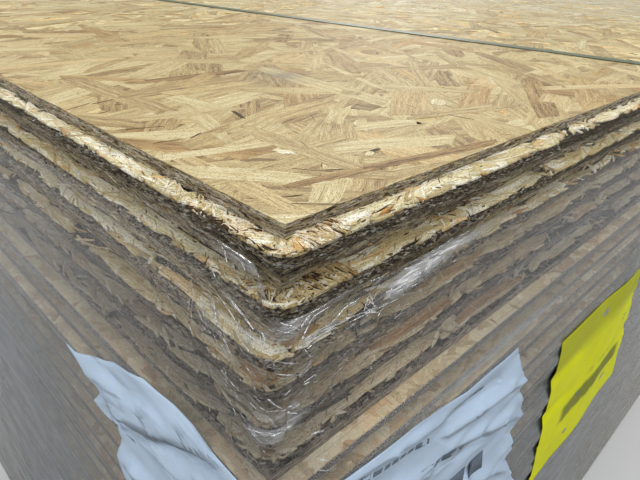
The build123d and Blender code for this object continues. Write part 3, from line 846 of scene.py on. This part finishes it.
filmSettings = {
    "thick": 0.12,  # mm, all layers
    "gap": 0.45,  # clear of the tongues
    "sink": 0.2,  # for each mm away from a tongue
    "most": [13.4, 9.2, 0.9, 6.7],  # it stays within the pack's outer limits on the four sides
    "bottom": -719.6,
    "strapPlace": 465,  # mm from either end
    "strapOut": 9.0,  # how far it is held off by a strap
    "smallCreases": 240,
}
farMark = 3000  # s from here on is on the two far sides
# the upper edge as s, z in mm
filmEdge = np.array([
    (-1300, -44), (-900, -40), (-420, -44), (-250, -34), (-130, -20), (-60, -14.5), (-30, -12.8), (-12, -14),
    (-6, -22), (0, -29.5), (12, -31), (30, -31), (60, -33), (120, -34), (220, -38), (420, -44), (900, -41),
    (1500, -47), (2600, -44),
])
# patches of painted glare, bright reflections on the film, as s, z, half length along, half height, strength
filmGlarePatches = [
    (178, -135, 95, 2.6, 0.6), (62, -41, 9, 3, 0.8), (80, -39.3, 13, 3.2, 0.85), (5.5, -33, 6, 3, 0.55),
    (98, -37.5, 24, 2.8, 0.7), (-17, -13.5, 11, 4.5, 0.35), (66, -42, 10, 2.5, 0.3), (4, -81, 9, 3, 0.5),
    (6, -72, 8, 2.2, 0.3), (-9, -83, 5, 3, 0.35),
]
# creases, painted white as glints, as s, z to s, z, width in mm
filmCreases = [
    (-43.5, -39.1, -45.8, -48.3, 0.5), (-41.5, -38.1, -44.7, -51, 0.4), (-36.9, -35.8, -34.1, -48.3, 0.6),
    (-35.3, -39.3, -32.9, -49, 0.4), (-32.1, -36.7, -21, -48.7, 0.6), (-29.7, -36.3, -24.3, -46.3, 0.35),
    (-27, -30, -7.7, -34.7, 0.35), (-24.7, -29.7, -9.7, -33.8, 0.3), (-29.4, -32, -16.1, -36.6, 0.3),
    (-40.6, -42, -35.3, -47.2, 0.4), (-36.8, -49.8, -34.3, -50.2, 0.8), (-22.5, -43, -19.9, -50.2, 0.5),
    (-19.5, -38.4, -7.8, -42.9, 0.35), (-14, -38.3, -4, -36.9, 0.3), (-0.2, -29.8, 2.6, -31.5, 0.6),
    (2.6, -31.5, 7, -35.7, 0.6), (7, -35.7, 9.1, -33.5, 0.6), (9.1, -33.5, 11.2, -31.2, 0.5),
    (8.1, -39.5, 21.2, -39.5, 0.5), (21.2, -39.5, 28.6, -37, 0.4), (9.5, -41.1, 24, -42.1, 0.45),
    (7.3, -42, 26.4, -41.1, 0.35), (7.2, -39, 13.6, -32.9, 0.5), (13.6, -32.9, 20.6, -32.3, 0.4),
    (11.8, -40.2, 29, -41.5, 0.4), (29, -41.5, 58.6, -47, 0.45), (15.5, -40, 37.2, -42.8, 0.3),
    (29.2, -43.4, 61.9, -47.5, 0.4), (-0.9, -32.7, 5.5, -35.8, 0.35), (28.6, -37, 35.4, -36.7, 0.35),
    (32.3, -37.9, 37.5, -36.3, 0.35), (38.4, -43.3, 42, -37, 0.45), (39.8, -36.9, 48.1, -47, 0.4),
    (36.8, -39.5, 47, -47.4, 0.35), (41.9, -36.1, 45.5, -44.8, 0.45), (38.4, -43.3, 49.6, -48.6, 0.5),
    (62.7, -34.8, 76.3, -36.3, 1.1), (74.1, -41.6, 81, -41, 1.2), (69.5, -45.5, 75.1, -45.9, 0.9),
    (80.2, -37.8, 89.1, -38.2, 1.6), (58, -38.5, 63, -38.9, 1), (60, -42.5, 70, -42.9, 0.9),
    (66, -39.6, 72, -39.9, 1.3), (52, -40.5, 57, -41, 0.8), (84, -36, 92, -36.3, 0.8), (63.5, -42, 65.8, -40.7, 0.4),
    (-11.2, -68.9, -7.9, -69.7, 0.7), (0.3, -68.9, 8.6, -72.9, 0.5), (8.6, -74.4, 12.6, -74.7, 0.8),
    (2.3, -72, 13.9, -80.6, 0.4), (-3.8, -79, 9, -83.2, 0.8), (-2.9, -80.9, 1.3, -79.9, 1),
    (19, -95, 25.9, -97.4, 0.8), (21.1, -109, 27.2, -112.8, 0.5), (20.2, -113, 29, -120.4, 0.8),
    (-13.8, -84.2, -4.7, -79.1, 0.7), (-11.4, -84.9, -6.8, -84.2, 0.7), (-28.2, -14.2, -26.1, -15.9, 0.6),
    (-26.7, -16, -24.7, -18.7, 0.5), (-18.5, -14.9, -15.5, -17.4, 0.4), (-33, -24, -30, -27, 0.5),
]


def tipOut(s, z, axis):
    # how far the tongues hold the film out at height z on the -X (0) or -Y (1) side: over all tongues, the largest of
    # a tongue's reach less what the film sinks on its way from it; near the corner the third one reaches further
    middles = -panelSizes["thick"] * (np.arange(panelSizes["count"]) + 0.5)
    away = np.clip(np.abs(np.asarray(z)[..., None] - middles) - 2.4, 0, None)
    pushed = edgeSettings["pushed"][axis] * np.exp(-(s / edgeSettings["pushedReach"]) ** 2)
    third = panelSizes["tongue"] - shifts[2, axis] - pushed - filmSettings["sink"] * away[..., 2]
    return np.maximum((panelSizes["tongue"] - shifts[:, axis] - filmSettings["sink"] * away).max(-1), third)


def filmOut(s, z, side):
    # distance of the film from the top panel's edge planes; side is 0 at -X, 1 at -Y, 2 at +X, 3 at +Y, and between
    # them at a corner
    low = np.floor(np.clip(side, 0, 3.999)).astype(int)
    part = np.clip(side - low, 0, 1)

    def blended(sides):
        # each side's own value, and at a corner a straight blend of the two beside it
        pairs = zip(sides, sides[1:] + sides[:1])
        return np.select([low == i for i in range(4)], [one * (1 - part) + other * part for one, other in pairs])

    f = filmSettings
    end, along = tipOut(s, z, 0) + f["gap"], tipOut(s, z, 1) + f["gap"]
    for strap in (f["strapPlace"], panelSizes["length"] - f["strapPlace"]):
        held = f["strapOut"] - 0.05 * np.maximum(np.abs(s - turnHalf - strap) - 10, 0)
        along = np.maximum(along, np.where(side == 1, held, 0))
    out = blended([end, along, 0 * z + 0.5, 0 * z + 6.3])
    ripple = 0.5 * (waves(s / 16, z / 7 + s / 60, 301) - 0.5) + 0.35 * (waves(s / 40, z / 3.1 - s / 90, 302) - 0.5)
    near = np.exp(-(s / 260) ** 2)
    return np.minimum(out + ripple * (0.35 + 0.65 * near), blended(f["most"]))


def makeFilm():
    f = filmSettings
    length, width = panelSizes["length"], panelSizes["width"]
    right, left = (spacing(side, 2.2, 100, 1.085, 46) for side in (length, width))
    turn, short = np.linspace(0, 1, 11)[1:-1], np.linspace(0, 1, 5)[1:-1]
    backShort, backLong = np.linspace(0, 1, 18), np.linspace(0, 1, 32)
    zero, one = np.zeros_like, np.ones_like
    # columns as base x, base y, side number, s
    parts = [
        (zero(turn), zero(turn), turn, (turn * 2 - 1) * turnHalf),
        (right, zero(right), one(right), right + turnHalf),
        (length + zero(short), zero(short), 1 + short, length + turnHalf + 2 * short),
        (length * one(backShort), width * backShort, 2 * one(backShort), farMark + width * backShort),
        (length + zero(short), width + zero(short), 2 + short, farMark + 1300 + short),
        (length * (1 - backLong), width * one(backLong), 3 * one(backLong), farMark + 1400 + length * backLong),
        (zero(short), width + zero(short), 3 + short, -width - turnHalf - 6 + 2 * short),
        (zero(left), left[::-1], zero(left), -left[::-1] - turnHalf),
    ]
    bx, by, side, s = (np.concatenate([p[i] for p in parts])[:, None] for i in range(4))
    turned = side * np.pi / 2
    dx, dy = -np.cos(turned), -np.sin(turned)
    upper = np.arange(-12.8, -132, -2.5)
    tops = -panelSizes["thick"] * np.arange(7, panelSizes["count"])
    lower = np.stack([tops - 6.6, tops - 11.4, tops - 18], -1).ravel()
    levels = np.concatenate([upper, lower[lower < upper[-1] - 1][:-1], [f["bottom"]]])[None, :]
    edge = np.interp(s, filmEdge[:, 0], filmEdge[:, 1]) + 1.2 * (waves(s / 9, 0 * s, 311) - 0.5)
    edge = np.where(s >= farMark, -44 + 4 * np.sin(s / 200), edge)
    z = np.minimum(levels, edge)
    sAll, sideAll = s + 0 * z, side + 0 * z
    leaning = np.clip(1 - (edge - z) / 5, 0, 1)  # the top 5 mm lean in
    out = filmOut(sAll, z, sideAll) - 0.9 * leaning * (s < farMark)

    def rising(value, start, over):
        # 0 up to start, then straight up to 1
        return np.clip((value - start) / over, 0, 1)

    # the colour attribute: milkiness grows downwards and away from the corner, tension lines lie round the corner,
    # whiteness, the painted glare and glints, is a sum of soft spots exp(-(distance / half size)^2) times noise, and
    # paleness grows far out
    haze = np.zeros(z.shape + (4,))
    drift = 60 * (waves(sAll / 130, z / 45, 323) - 0.5)
    low = rising(-z + drift, 150, 130) * rising(np.abs(sAll) + 1.4 * drift, 165, 190)
    veil = rising(-z, 42, 45) * rising(np.abs(sAll), 45, 160)
    pale = rising(np.abs(sAll), 420, 600)  # many layers, seen from afar
    haze[..., 0] = 0.006 + 0.17 * veil + 0.4 * low * (1 - 0.6 * pale)
    haze[..., 1] = 0.05 + 0.07 * np.exp(-(sAll / 120) ** 2)
    # painted glare: each patch adds to the whiteness
    for ps, pz, halfLong, halfHigh, strength in filmGlarePatches:
        spot = np.exp(-((sAll - ps) / halfLong) ** 2 - ((z - pz) / halfHigh) ** 2)
        haze[..., 2] += strength * spot * (0.35 + 0.9 * waves(sAll / 3.0, z / 0.9 + sAll / 14, 320))
    haze[..., 3] = pale
    # a painted glint along the film's leaning upper edge near the corner
    haze[..., 2] += 0.3 * (leaning > 0.85) * (np.abs(s) < 50) * (waves(sAll / 12, 0 * z, 322) > 0.4)
    # each far corner is a quarter ellipse between its two sides
    ellipse = (side > 1) & (side != 2) & (side != 3)
    reachX = np.where(np.abs(side - 2) < 1, 0.45, filmOut(sAll, z, 4.0 * (sideAll > 3)))
    reachY = np.where(side > 2, 6.2, filmOut(sAll, z, 1 + 0 * sideAll))

    def shell(back):
        # the film's outer face, or the one a little way back from it
        x = bx + dx * (np.where(ellipse, reachX, out) - back)
        y = by + dy * (np.where(ellipse, reachY, out) - back)
        return rowsOf(x, y, z)

    inside = z.size
    outer = np.arange(inside).reshape(z.shape)
    quads = quadsBetween(outer, np.roll(outer, -1, axis=0))
    bottomRim = np.roll(rimQuads(outer[:, -1], inside)[:, ::-1], 1, axis=1)
    allQuads = np.concatenate([quads, quads[:, ::-1] + inside, rimQuads(outer[:, 0], inside), bottomRim])
    points = np.concatenate([shell(0), shell(f["thick"])])
    wrap = np.stack([sAll, z], -1).reshape(-1, 2)
    haze = haze.reshape(-1, 4)
    # creases: thin raised folds of the same film, those of the list and small ones strewn near the corner, painted
    # white as glints
    rng = np.random.default_rng(5)
    n = f["smallCreases"]
    s0, z0 = rng.normal(8, 34, n), -33 - 62 * rng.beta(1.1, 2.4, n)
    angle = np.where(s0 < 0, rng.normal(-0.75, 0.35, n), rng.normal(-0.25, 0.6, n))
    reach = rng.uniform(1.2, 7, n) * rng.uniform(0.4, 1.4, n)
    strewn = np.stack([s0, z0, s0 + reach * np.cos(angle), z0 + reach * np.sin(angle), rng.uniform(0.16, 0.5, n)], -1)
    glintStrength = np.concatenate([np.full(len(filmCreases), 1.0), rng.uniform(0.2, 1.0, n) ** 1.5])
    c = np.concatenate([np.array(filmCreases), strewn])
    n, rowCount = len(c), 11
    middleS, middleZ, length, angle = middleAndTurn(*c[:, :4].T)
    broad = c[:, 4] * np.where(c[:, 0] < -12, 0.6, 1.0)  # narrower on the end side
    along, across, up = sliverShapes(rng, length, broad, np.full(n, 0.25), rowCount, 0.45, rng.normal(0, 0.06, n))
    ds, dz = turnInPlane(along, across, angle)
    cs, cz = middleS[:, None, None] + ds, middleZ[:, None, None] + dz
    base = filmOut(cs, cz, np.clip((cs / turnHalf + 1) / 2, 0, 1))
    x, y = aroundCorner(cs, base + 0.2 + up)
    crease = rowsOf(x, y, cz)
    creaseHazeAndGlint = np.tile([0.0, 0.1, 1.0, 0.0], (len(crease), 1))
    sparkle = np.clip(1.9 * waves(cs / 2.4, cz / 2.4 + 40, 330) - 0.1, 0.3, 1)  # the painted glint's brightness comes and goes along a fold
    creaseHazeAndGlint[:, 2] = np.repeat(glintStrength, rowCount * 4) * sparkle.ravel()
    creaseWrap = np.stack([cs, cz], -1).reshape(-1, 2)
    allQuads = np.concatenate([allQuads, sliverQuads(n, rowCount) + len(points)])
    piece = makePiece("film_wrap", np.concatenate([points, crease]), allQuads, [wrapFilm], slotName="film", smooth=True,
                      wrap=np.concatenate([wrap, wrap, creaseWrap]), haze=np.concatenate([haze, haze, creaseHazeAndGlint]))
    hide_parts("stretch_film")


makeFilm()


# Labels: paper laid on the film, bent over each tongue and creased

# the torn outline as s, z in mm, each side from its upper or left end
cornerLabelEdges = {
    "left": [(-196, -153), (-181, -167), (-156, -164), (-178, -191), (-143, -182), (-142, -200), (-150, -215),
             (-135, -227), (-124, -330), (-111, -425)],
    "right": [(215, -156), (227, -170), (233, -186), (253, -208), (241, -209), (260, -238), (277, -262), (252, -264),
              (270, -297), (265, -305), (276, -327), (303, -366), (316, -425)],
    "top": [(-196, -153), (-184, -152), (-172, -147), (-129, -127), (-94, -113), (-66, -110), (-50, -110),
            (-35, -114), (-16, -115), (0, -124), (40, -135), (80, -141), (117, -147), (150, -154), (215, -156)],
    "bottom": [(-111, -425), (316, -425)],
}
sideLabelCorners = [(307, -203), (512, -206), (584, -404), (352, -426)]  # mm from the corner along the side, z
# folds of the corner label as s, z to s, z, half width, height (hollow where negative), mm
paperFolds = [
    (-176, -184, -134, -167, 8, 2.8), (-134, -167, -90, -144, 8.5, 3.4), (-90, -144, -52, -123, 8, 3.6),
    (-52, -123, -33, -114, 6, 3), (-147, -187, -104, -162, 2.6, -1.6), (-104, -162, -71, -143, 2.6, -1.8),
    (-71, -143, -48, -131, 2.4, -1.8), (-48, -131, -25, -117, 2.4, -1.6), (-182, -153, -171, -163, 5, 1.2),
    (-171, -163, -128, -146, 4, 1), (-157, -162, -124, -154, 3, -0.9), (-132, -139, -98, -133, 4, -0.6),
    (-154, -214, -125, -211, 6, 1.8), (-125, -211, -100, -200, 6, 1.8), (-105, -170, -64, -158, 4, 1),
    (-89, -172, -60, -169, 4, -1.1), (-45, -145, -20, -150, 5, 1.2), (-60, -190, -20, -175, 5, 1.4),
    (-100, -230, -30, -205, 6, 1.6), (-120, -260, -20, -240, 5, -1.3), (136, -179, 173, -186, 4.5, 1.3),
    (173, -186, 218, -195, 4.5, 1.6), (218, -195, 250, -206, 4.5, 1.8), (132, -165, 196, -177, 4, -1),
    (140, -195, 182, -211, 5.5, 1.6), (182, -211, 227, -233, 6, 2), (227, -233, 274, -260, 6, 2.2),
    (130, -204, 186, -223, 2.8, -1.4), (186, -223, 255, -266, 2.8, -1.8), (42, -139, 81, -151, 5, 1.2),
    (81, -151, 132, -165, 4, 1), (20, -170, 120, -200, 6, 1.3), (60, -225, 180, -262, 6, 1.4),
    (180, -262, 270, -322, 6, 1.8), (40, -260, 200, -330, 5, -1.2), (30, -300, 290, -390, 8, 1.4),
]


def foldHeights(s, z, folds):
    # sum of bell-shaped ridges: height * exp(-(distance from the fold's line / half width)^2), steeper on the lower
    # side
    total = np.zeros(s.shape)
    for s0, z0, s1, z1, half, high in folds:
        ds, dz = s1 - s0, z1 - z0
        part = np.clip(((s - s0) * ds + (z - z0) * dz) / (ds * ds + dz * dz), 0, 1)
        away = np.hypot(s - s0 - part * ds, z - z0 - part * dz)
        half = np.where(z > z0 + part * dz, 1.25, 0.6) * half
        total = total + high * np.exp(-(away / half) ** 2)
    return total


def paperOut(s, z, fold):
    # distance of a label from the top panel's edge planes, kept inside the pack's outer limits
    side = np.clip((s / turnHalf + 1) / 2, 0, 1)
    return np.minimum(filmOut(s, z, side) + fold, 13.5 - 4.1 * side)


def labelSheet(name, s, z, fold, relief, ink, materials, slotName, nodeName, bars=None):
    # a sheet at s, z standing off the film by fold, closed with a second face 0.2 mm under it; relief goes to the
    # material; bars are printed blocks as n x 6 x 2 points s, z and their fold, closed layers of ink 0.05 mm high
    out = paperOut(s, z, fold)
    layers = []
    for back in (0, 0.2):
        x, y = aroundCorner(s, out - back)
        layers.append(rowsOf(x, y, z))
    under = s.size
    front = np.arange(under).reshape(s.shape)
    quads = quadsBetween(front[:-1], front[1:])
    loop = np.concatenate([front[:, 0], front[-1, 1:], front[-2::-1, -1], front[0, -2:0:-1]])
    quads = np.concatenate([quads, quads[:, ::-1] + under, rimQuads(loop, under)])
    ink, fold = np.tile(ink.ravel(), 2), np.tile(relief.ravel(), 2)
    if bars is not None:
        barS, barZ, barFold = bars
        for lift in (0.05, 0.01):
            x, y = aroundCorner(barS, paperOut(barS, barZ, barFold) + lift)
            layers.append(rowsOf(x, y, barZ))
        at = 2 * under + np.arange(barS.size).reshape(barS.shape)
        inkTop = np.stack([at[:, :-1, 0], at[:, :-1, 1], at[:, 1:, 1], at[:, 1:, 0]], -1).reshape(-1, 4)
        inkRim = rimQuads(np.concatenate([at[:, :, 0], at[:, ::-1, 1]], 1), barS.size)
        quads = np.concatenate([quads, inkTop, inkTop[:, ::-1] + barS.size, inkRim])
        ink = np.concatenate([ink, np.full(2 * barS.size, 0.9)])
        fold = np.concatenate([fold, np.tile(barFold.ravel(), 2)])
    points = np.concatenate(layers)
    piece = makePiece(name, points, quads, materials, slotName=slotName, smooth=True, ink=ink, fold=fold)
    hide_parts(nodeName)


# rows of print on the corner label as s, z to s, z and letter height in mm, shown as plain bars
printRows = [
    (50, -148, 116, -171, 4), (140, -163, 178, -169, 2.2), (108, -190, 172, -211, 6), (150, -240, 207, -259, 17),
    (70, -222, 130, -242, 4), (60, -268, 200, -318, 5), (60, -284, 190, -330, 3), (60, -298, 220, -354, 3),
]


def wordBars(rows):
    # each row cut into blocks of random length with gaps between them, as n x 6 x 2 points s, z
    rng = np.random.default_rng(77)
    blocks = []
    for s0, z0, s1, z1, high in rows:
        place = s0
        while place < s1:
            end = min(place + high * rng.uniform(0.8, 2.8), s1)
            blocks.append((place, end, z0 + (place - s0) * (z1 - z0) / (s1 - s0), (z1 - z0) / (s1 - s0), high))
            place = end + 0.5 * high
    start, end, z, slope, high = np.array(blocks).T[:, :, None, None]
    u, v = np.linspace(0, 1, 6)[None, :, None], np.array([0.5, -0.5])[None, None, :]
    return start + (end - start) * u + 0 * v, z + slope * (end - start) * u + v * high


def paperFold(s, z):
    # how far the crumpled paper stands off the film, mm
    slant = waves(s / 30, (z + 0.35 * np.abs(s)) / 13, 401)
    return np.clip(0.5 + 0.5 * slant + foldHeights(s, z, paperFolds), 0.15, 5)


def alongLine(line, part):
    # points s, z at a share of the line's length
    line = np.array(line)
    run = np.concatenate([[0], np.cumsum(np.hypot(*np.diff(line, axis=0).T))])
    return np.stack([np.interp(part * run[-1], run, line[:, i]) for i in (0, 1)], -1)


def makeCornerLabel(e):
    # a sheet between four edge lines: the blend of left and right plus that of top and bottom, less that of the corners
    u, v = np.linspace(0, 1, 170)[:, None, None], np.linspace(0, 1, 120)[None, :, None]
    parts = {"left": v, "right": v, "top": u, "bottom": u}
    left, right, top, bottom = (alongLine(e[name], part[..., 0]) for name, part in parts.items())
    corners = (top[:1] * (1 - u) + top[-1:] * u) * (1 - v) + (bottom[:1] * (1 - u) + bottom[-1:] * u) * v
    sheet = left * (1 - u) + right * u + top * (1 - v) + bottom * v - corners
    s, z, u, v = sheet[..., 0], sheet[..., 1], u[..., 0], v[..., 0]
    border = np.clip(np.minimum(np.minimum(u, 1 - u) * 22, v * 30), 0, 1)  # the paper's edges lie down on the film
    fold = 0.25 + border * (paperFold(s, z) - 0.25)
    barS, barZ = wordBars(printRows)
    bars = (barS, barZ, paperFold(barS, barZ))
    labelSheet("corner_paper", s, z, fold, fold, 0 * s, [whitePaper], "white_paper", "corner_label", bars)


def makeSideLabel():
    # a sheet between its four corners; it spans from tongue to tongue
    u, v = np.meshgrid(np.linspace(0, 1, 90), np.linspace(0, 1, 80), indexing="ij")
    shares = ((1 - u) * (1 - v), u * (1 - v), u * v, (1 - u) * v)
    corners = np.array(sideLabelCorners) + (turnHalf, 0)
    s, z = (sum(share * place for share, place in zip(shares, line)) for line in corners.T)
    bridged = np.max([filmOut(s, z + step, 1 + 0 * s) for step in np.arange(-12, 13, 3)], 0)
    relief = 0.3 * waves(s / 60, z / 25, 420)
    fold = bridged - filmOut(s, z, 1 + 0 * s) + 0.1 + relief
    ragged = 0.02 * waves(u * 30, v * 6, 421)
    bar = np.clip((0.08 - np.abs(v + ragged - 0.65)) / 0.03, 0, 1) * np.clip((0.37 - np.abs(u - 0.57)) / 0.05, 0, 1)
    smudge = np.clip((0.03 - np.abs(v - 0.5)) / 0.03, 0, 1) * np.clip((0.22 - np.abs(u - 0.66)) / 0.06, 0, 1)
    smudge = smudge * waves(u * 40, v * 30, 422)
    ink = np.maximum(0.85 * bar, 0.4 * smudge) + 0.45 * np.clip((0.26 - v) / 0.12, 0, 1)
    labelSheet("side_paper", s, z, fold, relief, ink, [yellowPaper], "yellow_label", "side_label")


makeCornerLabel(cornerLabelEdges)
makeSideLabel()


# Stage, light and camera

cameraSettings = {
    "place": (-96.4, -107.6, 71.4),  # mm from the top face's corner
    "yaw": 43.80,  # degrees from +X towards +Y
    "pitch": 27.83,  # degrees down
    "roll": 3.09,
    "focal": 536.8,  # pixels of a 640 wide image
}
stageSettings = {
    "floor": ("#8a8781", "#dedfdf"),  # what it throws back on the pack, and what the camera sees
    # lamps: name, place in m, length and width in m, power in W
    "lamps": [
        ("ceiling light", (-0.8, -0.6, 4.0), 4.0, 4.0, 139.0),
        ("side light", (-5.1, -3.9, 3.0), 2.2, 2.2, 88.0),
        ("right tube", (1.2, -3.4, 1.9), 2.4, 0.1, 16.0),  # tubes that glint in the film
        ("left tube", (-3.0, 1.6, 1.9), 2.4, 0.2, 20.0),
        ("back light", (4.6, 4.0, 2.6), 2.2, 2.2, 80.0),  # sheen on the top's far part, light on the far sides
        ("east light", (5.2, -0.6, 2.1), 2.2, 2.2, 50.0),
        ("north light", (-1.2, 5.2, 2.1), 2.2, 2.2, 50.0),
    ],
    "world": 0.15,
}


def makeCamera(s):
    data = bpy.data.cameras.new("camera")
    cam = bpy.data.objects.new("camera", data)
    scene.collection.objects.link(cam)
    # looks ahead by yaw and pitch, turned by roll about that line
    yaw, pitch, roll = (math.radians(s[k]) for k in ("yaw", "pitch", "roll"))
    ahead = Vector((math.cos(yaw) * math.cos(pitch), math.sin(yaw) * math.cos(pitch), -math.sin(pitch)))
    level = Vector((math.sin(yaw), -math.cos(yaw), 0))
    right = math.cos(roll) * level + math.sin(roll) * level.cross(ahead)
    up = right.cross(ahead)
    cam.matrix_world = Matrix((right, up, -ahead)).transposed().to_4x4()
    cam.location = Vector(corner) + Vector(s["place"]) * mm
    data.sensor_width = 36
    data.lens = s["focal"] / 640 * data.sensor_width
    data.clip_start, data.clip_end = 0.01, 100
    scene.camera = cam


def makeStage(s):
    floorMesh = bpy.data.meshes.new("floor")
    floorMesh.from_pydata([(-30, -30, 0), (30, -30, 0), (30, 30, 0), (-30, 30, 0)], [], [(0, 1, 2, 3)])
    floor = bpy.data.objects.new("floor", floorMesh)
    scene.collection.objects.link(floor)
    m, add, shader = newMaterial("pale floor")
    path = add("LightPath")
    seen = add("Math", "MAXIMUM", path.outputs["Is Camera Ray"], path.outputs["Is Glossy Ray"])
    seen = add("Math", "MAXIMUM", seen, path.outputs["Is Transmission Ray"])
    connect(shader, Base_Color=add("Mix", blending, seen, *(linear(c) for c in s["floor"])), Roughness=0.8)
    floorMesh.materials.append(m)
    for name, place, long, wide, power in s["lamps"]:
        lamp = bpy.data.objects.new(name, bpy.data.lights.new(name, "AREA"))
        lamp.data.shape, lamp.data.size, lamp.data.size_y, lamp.data.energy = "RECTANGLE", long, wide, power
        lamp.location = place
        away = Vector(place) - Vector(corner)  # it shines at the near corner
        lamp.rotation_euler = away.to_track_quat("Z", "Y").to_euler()
        scene.collection.objects.link(lamp)
    world = bpy.data.worlds.new("world")
    scene.world = world
    world.use_nodes = True
    connect(world.node_tree.nodes["Background"], Color=(1, 1, 1, 1), Strength=s["world"])
    scene.view_settings.view_transform = "Standard"


makeCamera(cameraSettings)
makeStage(stageSettings)
print("stage, light and camera set")
